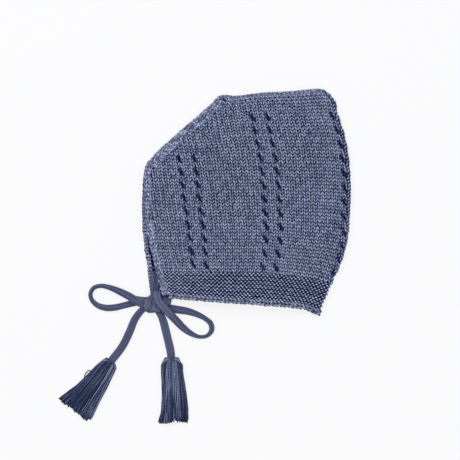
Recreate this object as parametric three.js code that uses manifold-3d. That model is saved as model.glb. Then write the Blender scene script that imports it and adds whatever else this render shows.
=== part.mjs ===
// A knitted baby bonnet, folded in half over the top of the head and lying flat on its side.
// Millimetres, +Z up. The lower layer rests on Z = 0. +Y points from the face edge to the back
// seam and +X from the neck edge to the fold. The origin is under the middle of the bonnet.
import * as THREE from 'three';
import { mergeVertices } from 'three/addons/utils/BufferGeometryUtils.js';
import Module from 'manifold-3d';

const wasm = await Module();
wasm.setup();

// The lying bonnet.
const layWidth = 157.5;
const layDepth = 171;
const wall = 2.2;
const clearance = 0.3;

// How the empty pouch stands off the table: its fullest height, the thickness of both layers at
// the fold and at the linked seams, how far the roundings and the dome reach inwards, and the
// upper layer's height at the two mouths and at the chin corner between them.
const fullHeight = 17;
const foldThickness = 6.4;
const seamThickness = 5;
const edgeLip = 0.8;
const rimReach = 5;
const domeReach = 46;
const mouthReach = 50;
const neckMouthHeight = 12.5;
const faceMouthHeight = 12.5;
const chinHeight = 9.8;

// The garter band along the face, the binding along the neck and where the nape seam starts.
const bandDepth = 23.8;
const bandBend = 0.576;
const bandDrop = 7;
const bindingWidth = 5.6;
const seamStart = 0.66;
const neckOpenTo = 0.6;
const overrun = 7;

// Eyelets run in lines beside plain straps, from just above the band up to the seams.
const eyeletLength = 3.4;
const eyeletWidth = 1.4;
const eyeletLean = THREE.MathUtils.degToRad(14);
const eyeletPitch = 10.2;
const firstEyelet = 4.5;
const eyeletMargin = 12;
const strapWidth = 10.6;

// The knitted tie cords, their bow knot and their tassels.
const tieWidth = 5.6;
const tieThickness = 3.6;
const tieSides = 8;
const tieStep = 5.2;
const knotHeight = 9.6;
const tasselLocks = 9;
const tasselThickness = 9;
const lockUnevenness = 1.2;
const lockNotch = 2.4;
const lockGroove = 0.16;
const headShare = 0.14;

// The lying outline from the face edge, up 0, to the back seam, up 1. Lengths are shares of
// layWidth from the leftmost point: the lower layer's left edge, how far the upper layer's edge
// is set back from it, and the fold. gather says how far the wales draw together near the face.
const outline = [
  { up: 0.0, left: 0.043, setBack: 0.055, right: 0.843, gather: 0.8 },
  { up: 0.08, left: 0.031, setBack: 0.045, right: 0.882, gather: 0.83 },
  { up: 0.16, left: 0.024, setBack: 0.034, right: 0.918, gather: 0.865 },
  { up: 0.25, left: 0.01, setBack: 0.028, right: 0.959, gather: 0.895 },
  { up: 0.35, left: 0.002, setBack: 0.02, right: 0.986, gather: 0.93 },
  { up: 0.45, left: 0.0, setBack: 0.012, right: 0.995, gather: 0.955 },
  { up: 0.55, left: 0.003, setBack: 0.005, right: 1.0, gather: 0.975 },
  { up: 0.62, left: 0.01, setBack: 0.0, right: 0.998, gather: 0.985 },
  { up: 0.66, left: 0.021, setBack: 0.0, right: 0.995, gather: 0.99 },
  { up: 0.72, left: 0.069, setBack: 0.0, right: 0.988, gather: 0.995 },
  { up: 0.8, left: 0.152, setBack: 0.0, right: 0.971, gather: 1.0 },
  { up: 0.9, left: 0.262, setBack: 0.0, right: 0.937, gather: 1.0 },
  { up: 0.95, left: 0.317, setBack: 0.0, right: 0.926, gather: 1.0 },
  { up: 1.0, left: 0.364, setBack: 0.0, right: 0.881, gather: 1.0 },
];

// The face edge and the back seam from left to right, as shares of layDepth from the lowest point.
const ends = [
  { across: 0.0, face: 0.088, back: 0.968 },
  { across: 0.06, face: 0.083, back: 0.973 },
  { across: 0.15, face: 0.076, back: 0.968 },
  { across: 0.4, face: 0.061, back: 0.982 },
  { across: 0.7, face: 0.046, back: 0.99 },
  { across: 0.9, face: 0.031, back: 1.0 },
  { across: 0.95, face: 0.018, back: 0.998 },
  { across: 1.0, face: 0.002, back: 0.991 },
];

// The first eyelet line of each strap, as a share of layWidth in from the fold. The fold has one
// line of its strap on each layer. slip is how far the lower layer's eyelets lie below the upper's.
const straps = [
  { name: 'fold', fromFold: 0.035, lines: 1, slip: 0 },
  { name: 'side', fromFold: 0.358, lines: 2, slip: 0.45 },
  { name: 'neck', fromFold: 0.746, lines: 2, slip: 0.45 },
];

// The cords' centre lines as they lie, each point x, y, z.
const farLeadPoints = [
  [-70.2, -52.5, 4.4], [-69.9, -59.0, 4.4], [-69.6, -66.0, 4.5], [-69.9, -71.0, 4.8], [-70.6, -76.0, 5.0],
];
const nearLeadPoints = [
  [-58.9, -62.5, 4.6], [-59.1, -69.0, 4.7], [-60.0, -74.5, 4.8], [-63.5, -79.0, 5.0],
];
const leftLoopPoints = [
  [-82.5, -74.3, 5.4], [-89.2, -70.5, 4.9], [-96.0, -67.2, 3.6], [-103.5, -64.3, 2.4],
  [-110.3, -63.2, 1.9], [-115.3, -64.6, 1.9], [-117.8, -69.0, 1.9], [-116.7, -73.7, 1.9],
  [-112.5, -77.7, 1.9], [-106.5, -79.7, 1.9], [-99.8, -79.4, 1.9], [-92.3, -77.7, 1.9],
  [-82.5, -75.2, 1.9],
];
const rightLoopPoints = [
  [-65.0, -76.5, 6.4], [-61.0, -80.6, 6.4], [-57.0, -85.1, 5.8], [-52.9, -89.4, 4.4],
  [-48.8, -93.8, 2.6], [-42.0, -99.0, 1.9], [-35.8, -101.3, 1.9], [-30.0, -100.4, 1.9],
  [-26.8, -96.5, 1.9], [-27.2, -92.0, 1.9], [-31.0, -88.2, 1.9], [-36.5, -85.2, 1.9],
  [-44.3, -82.3, 1.9], [-53.0, -80.9, 1.9], [-63.0, -79.5, 1.9],
];
const leftTailPoints = [
  [-76.0, -77.5, 2.4], [-79.9, -81.8, 2.0], [-84.0, -87.6, 1.9], [-88.3, -97.5, 1.9],
  [-94.0, -108.9, 1.9], [-100.9, -117.9, 2.4], [-102.3, -119.3, 2.6],
];
const rightTailPoints = [
  [-67.0, -79.0, 2.2], [-64.8, -84.8, 2.0], [-63.1, -89.4, 1.9], [-61.2, -96.5, 1.9],
  [-59.4, -104.0, 1.9], [-57.4, -113.0, 2.4], [-56.9, -116.6, 2.6],
];

// The bow knot's three swellings along the cord, from its left end, each with its half lengths.
const knotLobes = [
  { x: -81.8, y: -75.2, halfX: 4.9, halfY: 3.9, height: 0.78 },
  { x: -74.0, y: -76.0, halfX: 5.0, halfY: 6.0, height: 1.0 },
  { x: -65.3, y: -78.4, halfX: 7.2, halfY: 5.6, height: 0.94 },
];

// The tassels: where the head starts, the way it points and its length and hem width. In each
// section lengths are shares of hemWidth, to the left and to the right of the middle line.
const leftTassel = {
  top: [-102.4, -119.5], heading: 233.3, length: 46.5, hemWidth: 29.4,
  sections: [
    { along: 0.0, left: 0.14, right: 0.14, thick: 0.66 },
    { along: 0.06, left: 0.18, right: 0.24, thick: 0.9 },
    { along: 0.2, left: 0.235, right: 0.28, thick: 1.0 },
    { along: 0.42, left: 0.275, right: 0.345, thick: 0.96 },
    { along: 0.65, left: 0.33, right: 0.4, thick: 0.84 },
    { along: 1.0, left: 0.5, right: 0.5, thick: 0.6 },
  ],
};
const rightTassel = {
  top: [-56.8, -117.0], heading: 271, length: 48.5, hemWidth: 23.4,
  sections: [
    { along: 0.0, left: 0.22, right: 0.22, thick: 0.66 },
    { along: 0.1, left: 0.34, right: 0.32, thick: 0.92 },
    { along: 0.28, left: 0.35, right: 0.38, thick: 1.0 },
    { along: 0.55, left: 0.34, right: 0.45, thick: 0.94 },
    { along: 0.82, left: 0.36, right: 0.52, thick: 0.82 },
    { along: 1.0, left: 0.47, right: 0.5, thick: 0.68 },
  ],
};

const stockinette = new THREE.MeshStandardMaterial({ color: 0x5a617d, roughness: 0.95, metalness: 0 });
const garter = new THREE.MeshStandardMaterial({ color: 0x585f7b, roughness: 0.95, metalness: 0 });
const binding = new THREE.MeshStandardMaterial({ color: 0x626a88, roughness: 0.93, metalness: 0 });
const cord = new THREE.MeshStandardMaterial({ color: 0x4c526a, roughness: 0.92, metalness: 0 });
const yarn = new THREE.MeshStandardMaterial({ color: 0x434a63, roughness: 0.9, metalness: 0 });

const { lerp, clamp, smoothstep } = THREE.MathUtils;

// Reads one column of a table at a place between its rows, on a smooth curve through them.
function read(table, key, column, at) {
  const last = table.length - 2;
  const found = table.findIndex((row) => row[key] > at);
  const i = found < 0 ? last : clamp(found - 1, 0, last);
  const span = table[i + 1][key] - table[i][key];
  const share = clamp((at - table[i][key]) / span, 0, 1);
  const slope = (n) => {
    const before = table[Math.max(n - 1, 0)];
    const after = table[Math.min(n + 1, table.length - 1)];
    return ((after[column] - before[column]) / (after[key] - before[key])) * span;
  };
  const square = share * share;
  const cube = square * share;
  return (2 * cube - 3 * square + 1) * table[i][column] + (cube - 2 * square + share) * slope(i)
    + (3 * square - 2 * cube) * table[i + 1][column] + (cube - square) * slope(i + 1);
}

// A point of the lying outline, with the sides moved inwards by leftInset and foldInset.
function layPoint(across, up, leftInset = 0, foldInset = 0) {
  const left = read(outline, 'up', 'left', up) * layWidth + leftInset;
  const right = read(outline, 'up', 'right', up) * layWidth - foldInset;
  const face = read(ends, 'across', 'face', across) * layDepth;
  const back = read(ends, 'across', 'back', across) * layDepth;
  return new THREE.Vector2(lerp(left, right, across), lerp(face, back, up));
}

function polyline(steps, pointAt) {
  return Array.from({ length: steps + 1 }, (_, i) => pointAt(i / steps));
}

// The closed edges, where the layers are joined, and the open ones.
const napeLine = polyline(10, (t) => layPoint(0, lerp(seamStart, 1, t)));
const backLine = polyline(8, (t) => layPoint(t, 1));
const seamLine = [...napeLine, ...backLine.slice(1)];
const foldLine = polyline(16, (t) => layPoint(1, t));
foldLine.unshift(foldLine[0].clone().multiplyScalar(2).sub(foldLine[1]));
const neckLine = polyline(12, (t) => layPoint(0, t * seamStart));
const faceLine = polyline(12, (t) => layPoint(t, 0));

function distanceTo(line, point) {
  let nearest = Infinity;
  for (let i = 0; i + 1 < line.length; i += 1) {
    const step = line[i + 1].clone().sub(line[i]);
    const along = clamp(point.clone().sub(line[i]).dot(step) / step.lengthSq(), 0, 1);
    nearest = Math.min(nearest, point.distanceTo(line[i].clone().addScaledVector(step, along)));
  }
  return nearest;
}

// The heights of the pouch's upper and lower faces at a point. depth is 0 for the outside and the
// wall for the hollow inside it.
function layHeights(point, depth) {
  const fromSeam = Math.max(distanceTo(seamLine, point) - depth, 0);
  const fromFold = Math.max(distanceTo(foldLine, point) - depth, 0);
  const thickness = lerp(foldThickness, seamThickness, fromFold / (fromFold + fromSeam + edgeLip));
  const rim = clamp(Math.min(fromSeam, fromFold) / rimReach, 0, 1);
  const rounding = Math.sqrt(1 - (1 - rim) ** 2);
  const rise = (distance) => Math.sin((clamp(distance / domeReach, 0, 1) * Math.PI) / 2);
  const neckShare = smoothstep(distanceTo(neckLine, point), 0, mouthReach);
  const faceShare = smoothstep(distanceTo(faceLine, point), 0, mouthReach);
  const free = lerp(neckMouthHeight, fullHeight, neckShare) * lerp(faceMouthHeight / fullHeight, 1, faceShare);
  const dome = (Math.max(free, chinHeight) - thickness) * rise(fromSeam) * rise(fromFold);
  const half = thickness / 2 - depth;
  const lip = depth > 0 ? half / 3 : edgeLip;
  const edge = lerp(lip, half, rounding);
  return { top: thickness / 2 + edge + dome, bottom: thickness / 2 - edge };
}

// A closed solid between an upper and a lower face on a grid. place gives the face heights and
// the point for each share across and up.
function slab(columns, rows, place) {
  const positions = [];
  for (let row = 0; row <= rows; row += 1) {
    for (let column = 0; column <= columns; column += 1) {
      const { point, top, bottom } = place(column / columns, row / rows);
      positions.push(point.x, point.y, top, point.x, point.y, bottom);
    }
  }
  const upper = (column, row) => 2 * (row * (columns + 1) + column);
  const index = [];
  const quad = (a, b, c, d) => index.push(a, b, c, a, c, d);
  for (let row = 0; row < rows; row += 1) {
    for (let column = 0; column < columns; column += 1) {
      const corners = [
        upper(column, row), upper(column + 1, row), upper(column + 1, row + 1), upper(column, row + 1),
      ];
      quad(...corners);
      quad(...corners.map((corner) => corner + 1).reverse());
    }
  }
  const side = (a, b) => quad(a, a + 1, b + 1, b);
  for (let column = 0; column < columns; column += 1) {
    side(upper(column, 0), upper(column + 1, 0));
    side(upper(column + 1, rows), upper(column, rows));
  }
  for (let row = 0; row < rows; row += 1) {
    side(upper(0, row + 1), upper(0, row));
    side(upper(columns, row), upper(columns, row + 1));
  }
  const geometry = new THREE.BufferGeometry();
  geometry.setAttribute('position', new THREE.Float32BufferAttribute(positions, 3));
  geometry.setIndex(index);
  return geometry;
}

function toSolid(geometry) {
  geometry.deleteAttribute('normal');
  geometry.deleteAttribute('uv');
  const merged = mergeVertices(geometry, 1e-4);
  return new wasm.Manifold(new wasm.Mesh({
    numProp: 3,
    vertProperties: new Float32Array(merged.attributes.position.array),
    triVerts: new Uint32Array(merged.index.array),
  }));
}

function toMesh(name, solid, material) {
  const { vertProperties, triVerts } = solid.getMesh();
  const geometry = new THREE.BufferGeometry();
  geometry.setAttribute('position', new THREE.BufferAttribute(vertProperties, 3));
  geometry.setIndex(new THREE.BufferAttribute(triVerts, 1));
  geometry.computeVertexNormals();
  const mesh = new THREE.Mesh(geometry, material);
  mesh.name = name;
  return mesh;
}

// Grid lines are set closer together near the edges, where the pouch rounds over.
function crowd(share) {
  return share - 0.11 * Math.sin(2 * Math.PI * share);
}

function pouchOutside() {
  return toSolid(slab(20, 22, (i, j) => {
    const point = layPoint(crowd(i), crowd(j));
    return { point, ...layHeights(point, 0) };
  }));
}

// The hollow runs out through the face edge and, below the nape seam, through the neck edge.
function pouchHollow() {
  const nape = layPoint(0, 1).sub(layPoint(0, seamStart));
  const napeInset = (wall * nape.length()) / nape.y;
  return toSolid(slab(20, 22, (i, j) => {
    const across = crowd(i);
    const height = layPoint(across, 1).y - layPoint(across, 0).y;
    const up = lerp(-overrun / height, 1 - wall / height, crowd(j));
    const closed = smoothstep(up, neckOpenTo, seamStart);
    const point = layPoint(across, up, lerp(-overrun, napeInset, closed), wall);
    return { point, ...layHeights(point, wall) };
  }));
}

// A prism over a strip of the outline between two edges, each given as x at a share up.
function upStrip(fromUp, toUp, leftAt, rightAt, bottom, top) {
  return toSolid(slab(1, 14, (i, j) => {
    const up = lerp(fromUp, toUp, j);
    const level = layPoint(0, clamp(up, 0, 1)).y + (up - clamp(up, 0, 1)) * layDepth;
    return { point: new THREE.Vector2(i < 0.5 ? leftAt(up) : rightAt(up), level), top, bottom };
  }));
}

const farEdge = (up) => read(outline, 'up', 'left', up) * layWidth;
const nearEdge = (up) => farEdge(up) + read(outline, 'up', 'setBack', up) * layWidth;
const beyond = (up) => farEdge(up) - 2 * overrun;
const skyHeight = 2 * fullHeight;
const layerSplit = wall + (neckMouthHeight - 2 * wall) / 3;

// The upper layer ends short of the lower one along the neck.
function upperLayerTrim() {
  return upStrip(-0.1, neckOpenTo, beyond, nearEdge, layerSplit, skyHeight);
}

// The strip along the neck that the binding takes, on both layers and round the foot of the nape
// seam. extra widens it.
function bindingStrip(extra) {
  const width = bindingWidth + extra;
  const upper = upStrip(-0.1, seamStart + 0.02, beyond, (up) => nearEdge(up) + width, layerSplit, skyHeight);
  const lower = upStrip(-0.1, seamStart + 0.02, beyond, (up) => farEdge(up) + width, -1, layerSplit);
  const foot = upStrip(neckOpenTo, seamStart + 0.02, beyond, (up) => farEdge(up) + width, -1, skyHeight);
  return upper.add(lower).add(foot);
}

// Everything below the line where the garter band meets the plain knitting. Past bandBend, a share
// of layWidth, the line drops towards the fold. extra moves it up.
function bandRegion(extra) {
  const level = layPoint(0.5, 0).y + bandDepth + extra;
  const corners = [
    new THREE.Vector2(-layWidth, -layDepth),
    new THREE.Vector2(layWidth + overrun, -layDepth),
    new THREE.Vector2(layWidth + overrun, level - bandDrop),
    new THREE.Vector2(layWidth, level - bandDrop),
    new THREE.Vector2(bandBend * layWidth, level),
    new THREE.Vector2(-layWidth, level),
  ];
  const geometry = new THREE.ExtrudeGeometry(new THREE.Shape(corners), {
    depth: 2 * skyHeight,
    bevelEnabled: false,
  });
  geometry.translate(0, 0, -skyHeight);
  return toSolid(geometry);
}

function eyeletCutter(x, y, bottom, top) {
  const outlinePoints = [
    new THREE.Vector2(0, -eyeletLength / 2),
    new THREE.Vector2(eyeletWidth / 2, 0),
    new THREE.Vector2(0, eyeletLength / 2),
    new THREE.Vector2(-eyeletWidth / 2, 0),
  ];
  const geometry = new THREE.ExtrudeGeometry(new THREE.Shape(outlinePoints), {
    depth: top - bottom,
    bevelEnabled: false,
  });
  geometry.rotateZ(eyeletLean);
  geometry.translate(x, y, bottom);
  return toSolid(geometry);
}

// The eyelet lines follow the wales, which keep their distance from the fold.
function eyeletCutters() {
  const middleHeight = layPoint(0.6, 1).y - layPoint(0.6, 0).y;
  const firstUp = (bandDepth + firstEyelet) / middleHeight;
  const cutters = [];
  for (const strap of straps) {
    for (let line = 0; line < strap.lines; line += 1) {
      for (let up = firstUp; up < 1; up += eyeletPitch / middleHeight) {
        const fold = read(outline, 'up', 'right', up) * layWidth;
        const gather = read(outline, 'up', 'gather', up);
        const x = fold - (strap.fromFold * layWidth + line * strapWidth) * gather;
        const left = farEdge(up);
        const y = layPoint(clamp((x - left) / (fold - left), 0, 1), up).y;
        const point = new THREE.Vector2(x, y);
        if (distanceTo(seamLine, point) > eyeletMargin) {
          const hollow = layHeights(point, wall);
          const middle = (hollow.top + hollow.bottom) / 2;
          cutters.push(eyeletCutter(x, y, middle, skyHeight));
          cutters.push(eyeletCutter(x, y - strap.slip * eyeletPitch, -1, middle));
        }
      }
    }
  }
  return cutters;
}

// The bonnet's knitted pieces, cut from one hollow pouch and kept a clearance apart.
const trimmedPouch = pouchOutside().subtract(pouchHollow()).subtract(upperLayerTrim());
const bindingSolid = trimmedPouch.intersect(bindingStrip(0));
const withoutBinding = trimmedPouch.subtract(bindingStrip(clearance));
const bandSolid = withoutBinding.intersect(bandRegion(0));
const crownSolid = eyeletCutters().reduce(
  (solid, cutter) => solid.subtract(cutter),
  withoutBinding.subtract(bandRegion(clearance)),
);

const bonnet = new THREE.Group();
bonnet.add(toMesh('crown', crownSolid, stockinette));
bonnet.add(toMesh('face_band', bandSolid, garter));
bonnet.add(toMesh('neck_binding', bindingSolid, binding));
const bonnetBox = new THREE.Box3().setFromObject(bonnet);
const bonnetMiddle = bonnetBox.getCenter(new THREE.Vector3());
bonnet.position.set(-bonnetMiddle.x, -bonnetMiddle.y, 0);

// A flat-laid knitted cord along its points.
function tieCord(points) {
  const route = new THREE.CatmullRomCurve3(points.map(([x, y, z]) => new THREE.Vector3(x, y, z)));
  const section = new THREE.Shape(polyline(tieSides, (t) => new THREE.Vector2(
    (tieThickness / 2) * Math.cos(2 * Math.PI * t),
    (tieWidth / 2) * Math.sin(2 * Math.PI * t),
  )).slice(0, -1));
  const steps = Math.round(route.getLength() / tieStep);
  return toSolid(new THREE.ExtrudeGeometry(section, { steps, extrudePath: route }));
}

// The bow knot, with its underside flat on the table. grow makes it larger on every side.
function knotSolid(grow) {
  const floor = new THREE.BoxGeometry(4 * knotHeight, 4 * knotHeight, knotHeight);
  floor.translate(knotLobes[1].x, knotLobes[1].y, -knotHeight / 2);
  return knotLobes
    .map((lobe) => {
      const halfZ = (knotHeight * lobe.height) / 1.85;
      const geometry = new THREE.SphereGeometry(1, 12, 8);
      geometry.rotateX(Math.PI / 2);
      geometry.scale(lobe.halfX + grow, lobe.halfY + grow, halfZ + grow);
      geometry.translate(lobe.x, lobe.y, 0.85 * halfZ);
      return toSolid(geometry);
    })
    .reduce((solid, lobe) => solid.add(lobe))
    .subtract(toSolid(floor));
}

// A tassel lying on the table: thick locks of yarn side by side, notched at the hem and fused to
// a head.
function tasselSolid(form) {
  const heading = THREE.MathUtils.degToRad(form.heading);
  const section = (column, along) => read(form.sections, 'along', column, along);
  const place = (share, along, reach, height) => {
    const aside = lerp(-section('left', along), section('right', along), share) * form.hemWidth;
    const bulge = Math.sqrt(1 - (2 * share - 1) ** 4);
    const thick = section('thick', along) * tasselThickness;
    return {
      point: new THREE.Vector2(along * reach, aside)
        .rotateAround(new THREE.Vector2(), heading)
        .add(new THREE.Vector2(...form.top)),
      top: thick * (0.4 + 0.6 * bulge) * height,
      bottom: thick * 0.2 * (1 - bulge),
    };
  };
  const locks = toSolid(slab(6, 2 * tasselLocks, (i, j) => {
    const fromLock = 2 * Math.abs(((j * tasselLocks) % 1) - 0.5);
    const lock = Math.min(Math.floor(j * tasselLocks), tasselLocks - 1);
    const uneven = lockUnevenness * Math.sin(5 * lock);
    const reach = form.length + uneven - lockNotch * fromLock;
    return place(j, i, reach, 1 - lockGroove * fromLock);
  }));
  const head = toSolid(slab(3, 6, (i, j) => place(j, headShare * i, form.length, 1)));
  return locks.add(head);
}

// The room that a tassel takes from its cord's end on, up to the flat top of its head.
function tasselRoom(form) {
  const geometry = new THREE.BoxGeometry(form.length, form.hemWidth, 4 * tasselThickness);
  geometry.translate(form.length / 2 - clearance, 0, 0);
  geometry.rotateZ(THREE.MathUtils.degToRad(form.heading));
  geometry.translate(...form.top, 0);
  return toSolid(geometry);
}

const ties = new THREE.Group();
const knotRoom = knotSolid(clearance);
const tieStretches = [
  { name: 'far_tie_lead', points: farLeadPoints, room: knotRoom },
  { name: 'near_tie_lead', points: nearLeadPoints, room: knotRoom },
  { name: 'left_bow_loop', points: leftLoopPoints, room: knotRoom },
  { name: 'right_bow_loop', points: rightLoopPoints, room: knotRoom },
  { name: 'left_tie_tail', points: leftTailPoints, room: knotRoom.add(tasselRoom(leftTassel)) },
  { name: 'right_tie_tail', points: rightTailPoints, room: knotRoom.add(tasselRoom(rightTassel)) },
];
for (const stretch of tieStretches) {
  ties.add(toMesh(stretch.name, tieCord(stretch.points).subtract(stretch.room), cord));
}
ties.add(toMesh('bow_knot', knotSolid(0), cord));
ties.add(toMesh('left_tassel', tasselSolid(leftTassel), yarn));
ties.add(toMesh('right_tassel', tasselSolid(rightTassel), yarn));

const group = new THREE.Group();
group.add(bonnet);
group.add(ties);

export default group;
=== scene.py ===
import math
import bpy
import numpy as np
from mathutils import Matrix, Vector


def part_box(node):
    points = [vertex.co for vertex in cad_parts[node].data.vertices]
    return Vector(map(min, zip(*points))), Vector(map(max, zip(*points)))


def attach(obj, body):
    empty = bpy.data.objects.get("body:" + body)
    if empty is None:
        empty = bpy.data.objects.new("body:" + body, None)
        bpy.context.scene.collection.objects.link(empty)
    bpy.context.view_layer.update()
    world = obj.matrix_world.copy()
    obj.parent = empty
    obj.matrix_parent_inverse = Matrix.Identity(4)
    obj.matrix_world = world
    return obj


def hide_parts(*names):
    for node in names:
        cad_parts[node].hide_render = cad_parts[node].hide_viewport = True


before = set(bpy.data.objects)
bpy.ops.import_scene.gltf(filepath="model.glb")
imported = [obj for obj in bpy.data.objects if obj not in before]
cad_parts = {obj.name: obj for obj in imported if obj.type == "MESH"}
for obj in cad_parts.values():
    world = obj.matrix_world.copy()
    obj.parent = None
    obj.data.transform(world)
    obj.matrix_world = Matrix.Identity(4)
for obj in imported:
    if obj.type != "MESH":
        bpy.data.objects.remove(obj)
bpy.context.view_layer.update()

# The view
# The bonnet lies on its side on a table and is seen from straight above through a long lens.
# Lengths in this file are millimetres; they turn into metres where Blender takes them.
metre = 0.001
seen_width = 345.0
view_middle = (-12.75, -21.0)
view_height = 1500.0
fabric_level = 8.0
table_gap = 0.02

camera_data = bpy.data.cameras.new("view")
camera_data.sensor_width = 36.0
camera_data.lens = camera_data.sensor_width * (view_height - fabric_level) / seen_width
camera = bpy.data.objects.new("view", camera_data)
camera.location = [view_middle[0] * metre, view_middle[1] * metre, view_height * metre]
bpy.context.scene.collection.objects.link(camera)
bpy.context.scene.camera = camera

# The two ties
# Each tie is one flat braided cord, sewn inside a chin corner. It runs through the knot, out
# round its bow loop, back through the knot and down to its tassel.
tie_half_height = 1.55
tie_step = 0.55
tie_sides = 28
braid_pitch = 1.5
braid_relief = 0.07

# Each point is x, y, height above the table and half of the cord's width: it narrows where it
# turns on edge in a bend.
near_tie_points = [
    (-58.9, -62.5, 4.6, 3.0), (-59.1, -69.0, 4.7, 3.0), (-60.6, -74.5, 4.8, 3.0), (-64.2, -78.6, 5.0, 2.6),
    (-68.2, -79.0, 5.6, 2.2), (-68.6, -75.8, 6.2, 2.2), (-65.0, -76.0, 6.4, 2.8), (-61.0, -80.6, 6.4, 3.1),
    (-57.0, -85.1, 5.8, 3.1), (-52.9, -89.4, 4.4, 3.0), (-48.8, -93.8, 2.6, 2.8), (-42.0, -99.0, 1.9, 2.1),
    (-35.8, -101.4, 1.9, 1.5), (-30.0, -100.6, 1.9, 1.5), (-26.6, -96.5, 1.9, 2.0), (-27.0, -92.0, 1.9, 2.1),
    (-31.0, -88.0, 1.9, 1.9), (-36.5, -85.0, 1.9, 2.2), (-44.3, -82.3, 1.9, 2.7), (-53.0, -80.9, 1.9, 3.0),
    (-63.0, -79.5, 1.9, 2.9), (-67.2, -79.2, 2.0, 2.4), (-66.9, -81.8, 2.1, 2.4), (-64.6, -85.6, 2.0, 2.8),
    (-63.1, -89.4, 1.9, 3.0), (-61.2, -96.5, 1.9, 3.1), (-59.4, -104.0, 1.9, 3.1), (-57.4, -113.0, 2.4, 3.1),
    (-56.9, -117.6, 2.8, 3.0),
]
far_tie_points = [
    (-70.2, -52.5, 4.4, 2.3), (-70.0, -55.0, 4.4, 2.5), (-69.8, -58.6, 4.4, 3.6), (-69.6, -63.6, 4.5, 3.5),
    (-69.6, -67.6, 4.6, 2.9), (-69.9, -71.0, 4.8, 2.8), (-71.4, -76.0, 5.2, 2.6), (-75.6, -77.6, 5.4, 2.6),
    (-82.5, -74.6, 5.4, 3.0), (-89.2, -70.5, 4.9, 2.9), (-96.0, -67.2, 3.6, 2.6), (-103.5, -64.3, 2.4, 2.0),
    (-110.3, -63.1, 1.9, 1.65), (-115.3, -64.6, 1.9, 1.65), (-117.8, -69.0, 1.9, 1.65),
    (-116.7, -73.7, 1.9, 1.75), (-112.5, -77.7, 1.9, 2.1), (-106.5, -79.6, 1.9, 2.45),
    (-99.8, -79.4, 1.9, 2.5), (-92.3, -77.7, 1.9, 2.4), (-82.5, -75.4, 1.9, 2.6), (-76.4, -74.8, 2.0, 2.4),
    (-74.6, -77.0, 2.2, 2.2), (-76.8, -79.4, 2.2, 2.4), (-79.9, -82.2, 2.0, 2.6), (-84.0, -87.6, 1.9, 2.8),
    (-88.3, -97.5, 1.9, 3.0), (-94.0, -108.9, 1.9, 3.0), (-100.9, -117.9, 2.4, 3.0),
    (-102.9, -120.3, 2.8, 2.9),
]


def lengths_along(points):
    steps = np.linalg.norm(np.diff(points, axis=0), axis=1)
    return np.concatenate([[0.0], np.cumsum(steps)])


def smooth_line(points, step):
    """Evenly spaced points on a smooth curve through the given ones, with their further values."""
    points = np.asarray(points, float)
    knots = lengths_along(points[:, :3])
    slopes = np.gradient(points, knots, axis=0)
    at = np.linspace(0.0, knots[-1], 16 * len(points))
    i = np.clip(np.searchsorted(knots, at, side="right") - 1, 0, len(points) - 2)
    span = (knots[i + 1] - knots[i])[:, None]
    share = ((at - knots[i]) / span[:, 0])[:, None]
    square, cube = share**2, share**3
    fine = (
        (2 * cube - 3 * square + 1) * points[i] + (cube - 2 * square + share) * span * slopes[i]
        + (3 * square - 2 * cube) * points[i + 1] + (cube - square) * span * slopes[i + 1]
    )
    along = lengths_along(fine[:, :3])
    count = max(int(round(along[-1] / step)), 2)
    even = np.linspace(0.0, along[-1], count + 1)
    return np.stack([np.interp(even, along, column) for column in fine.T], axis=1)


def unit(vectors):
    return vectors / np.maximum(np.linalg.norm(vectors, axis=-1, keepdims=True), 1e-9)


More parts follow.
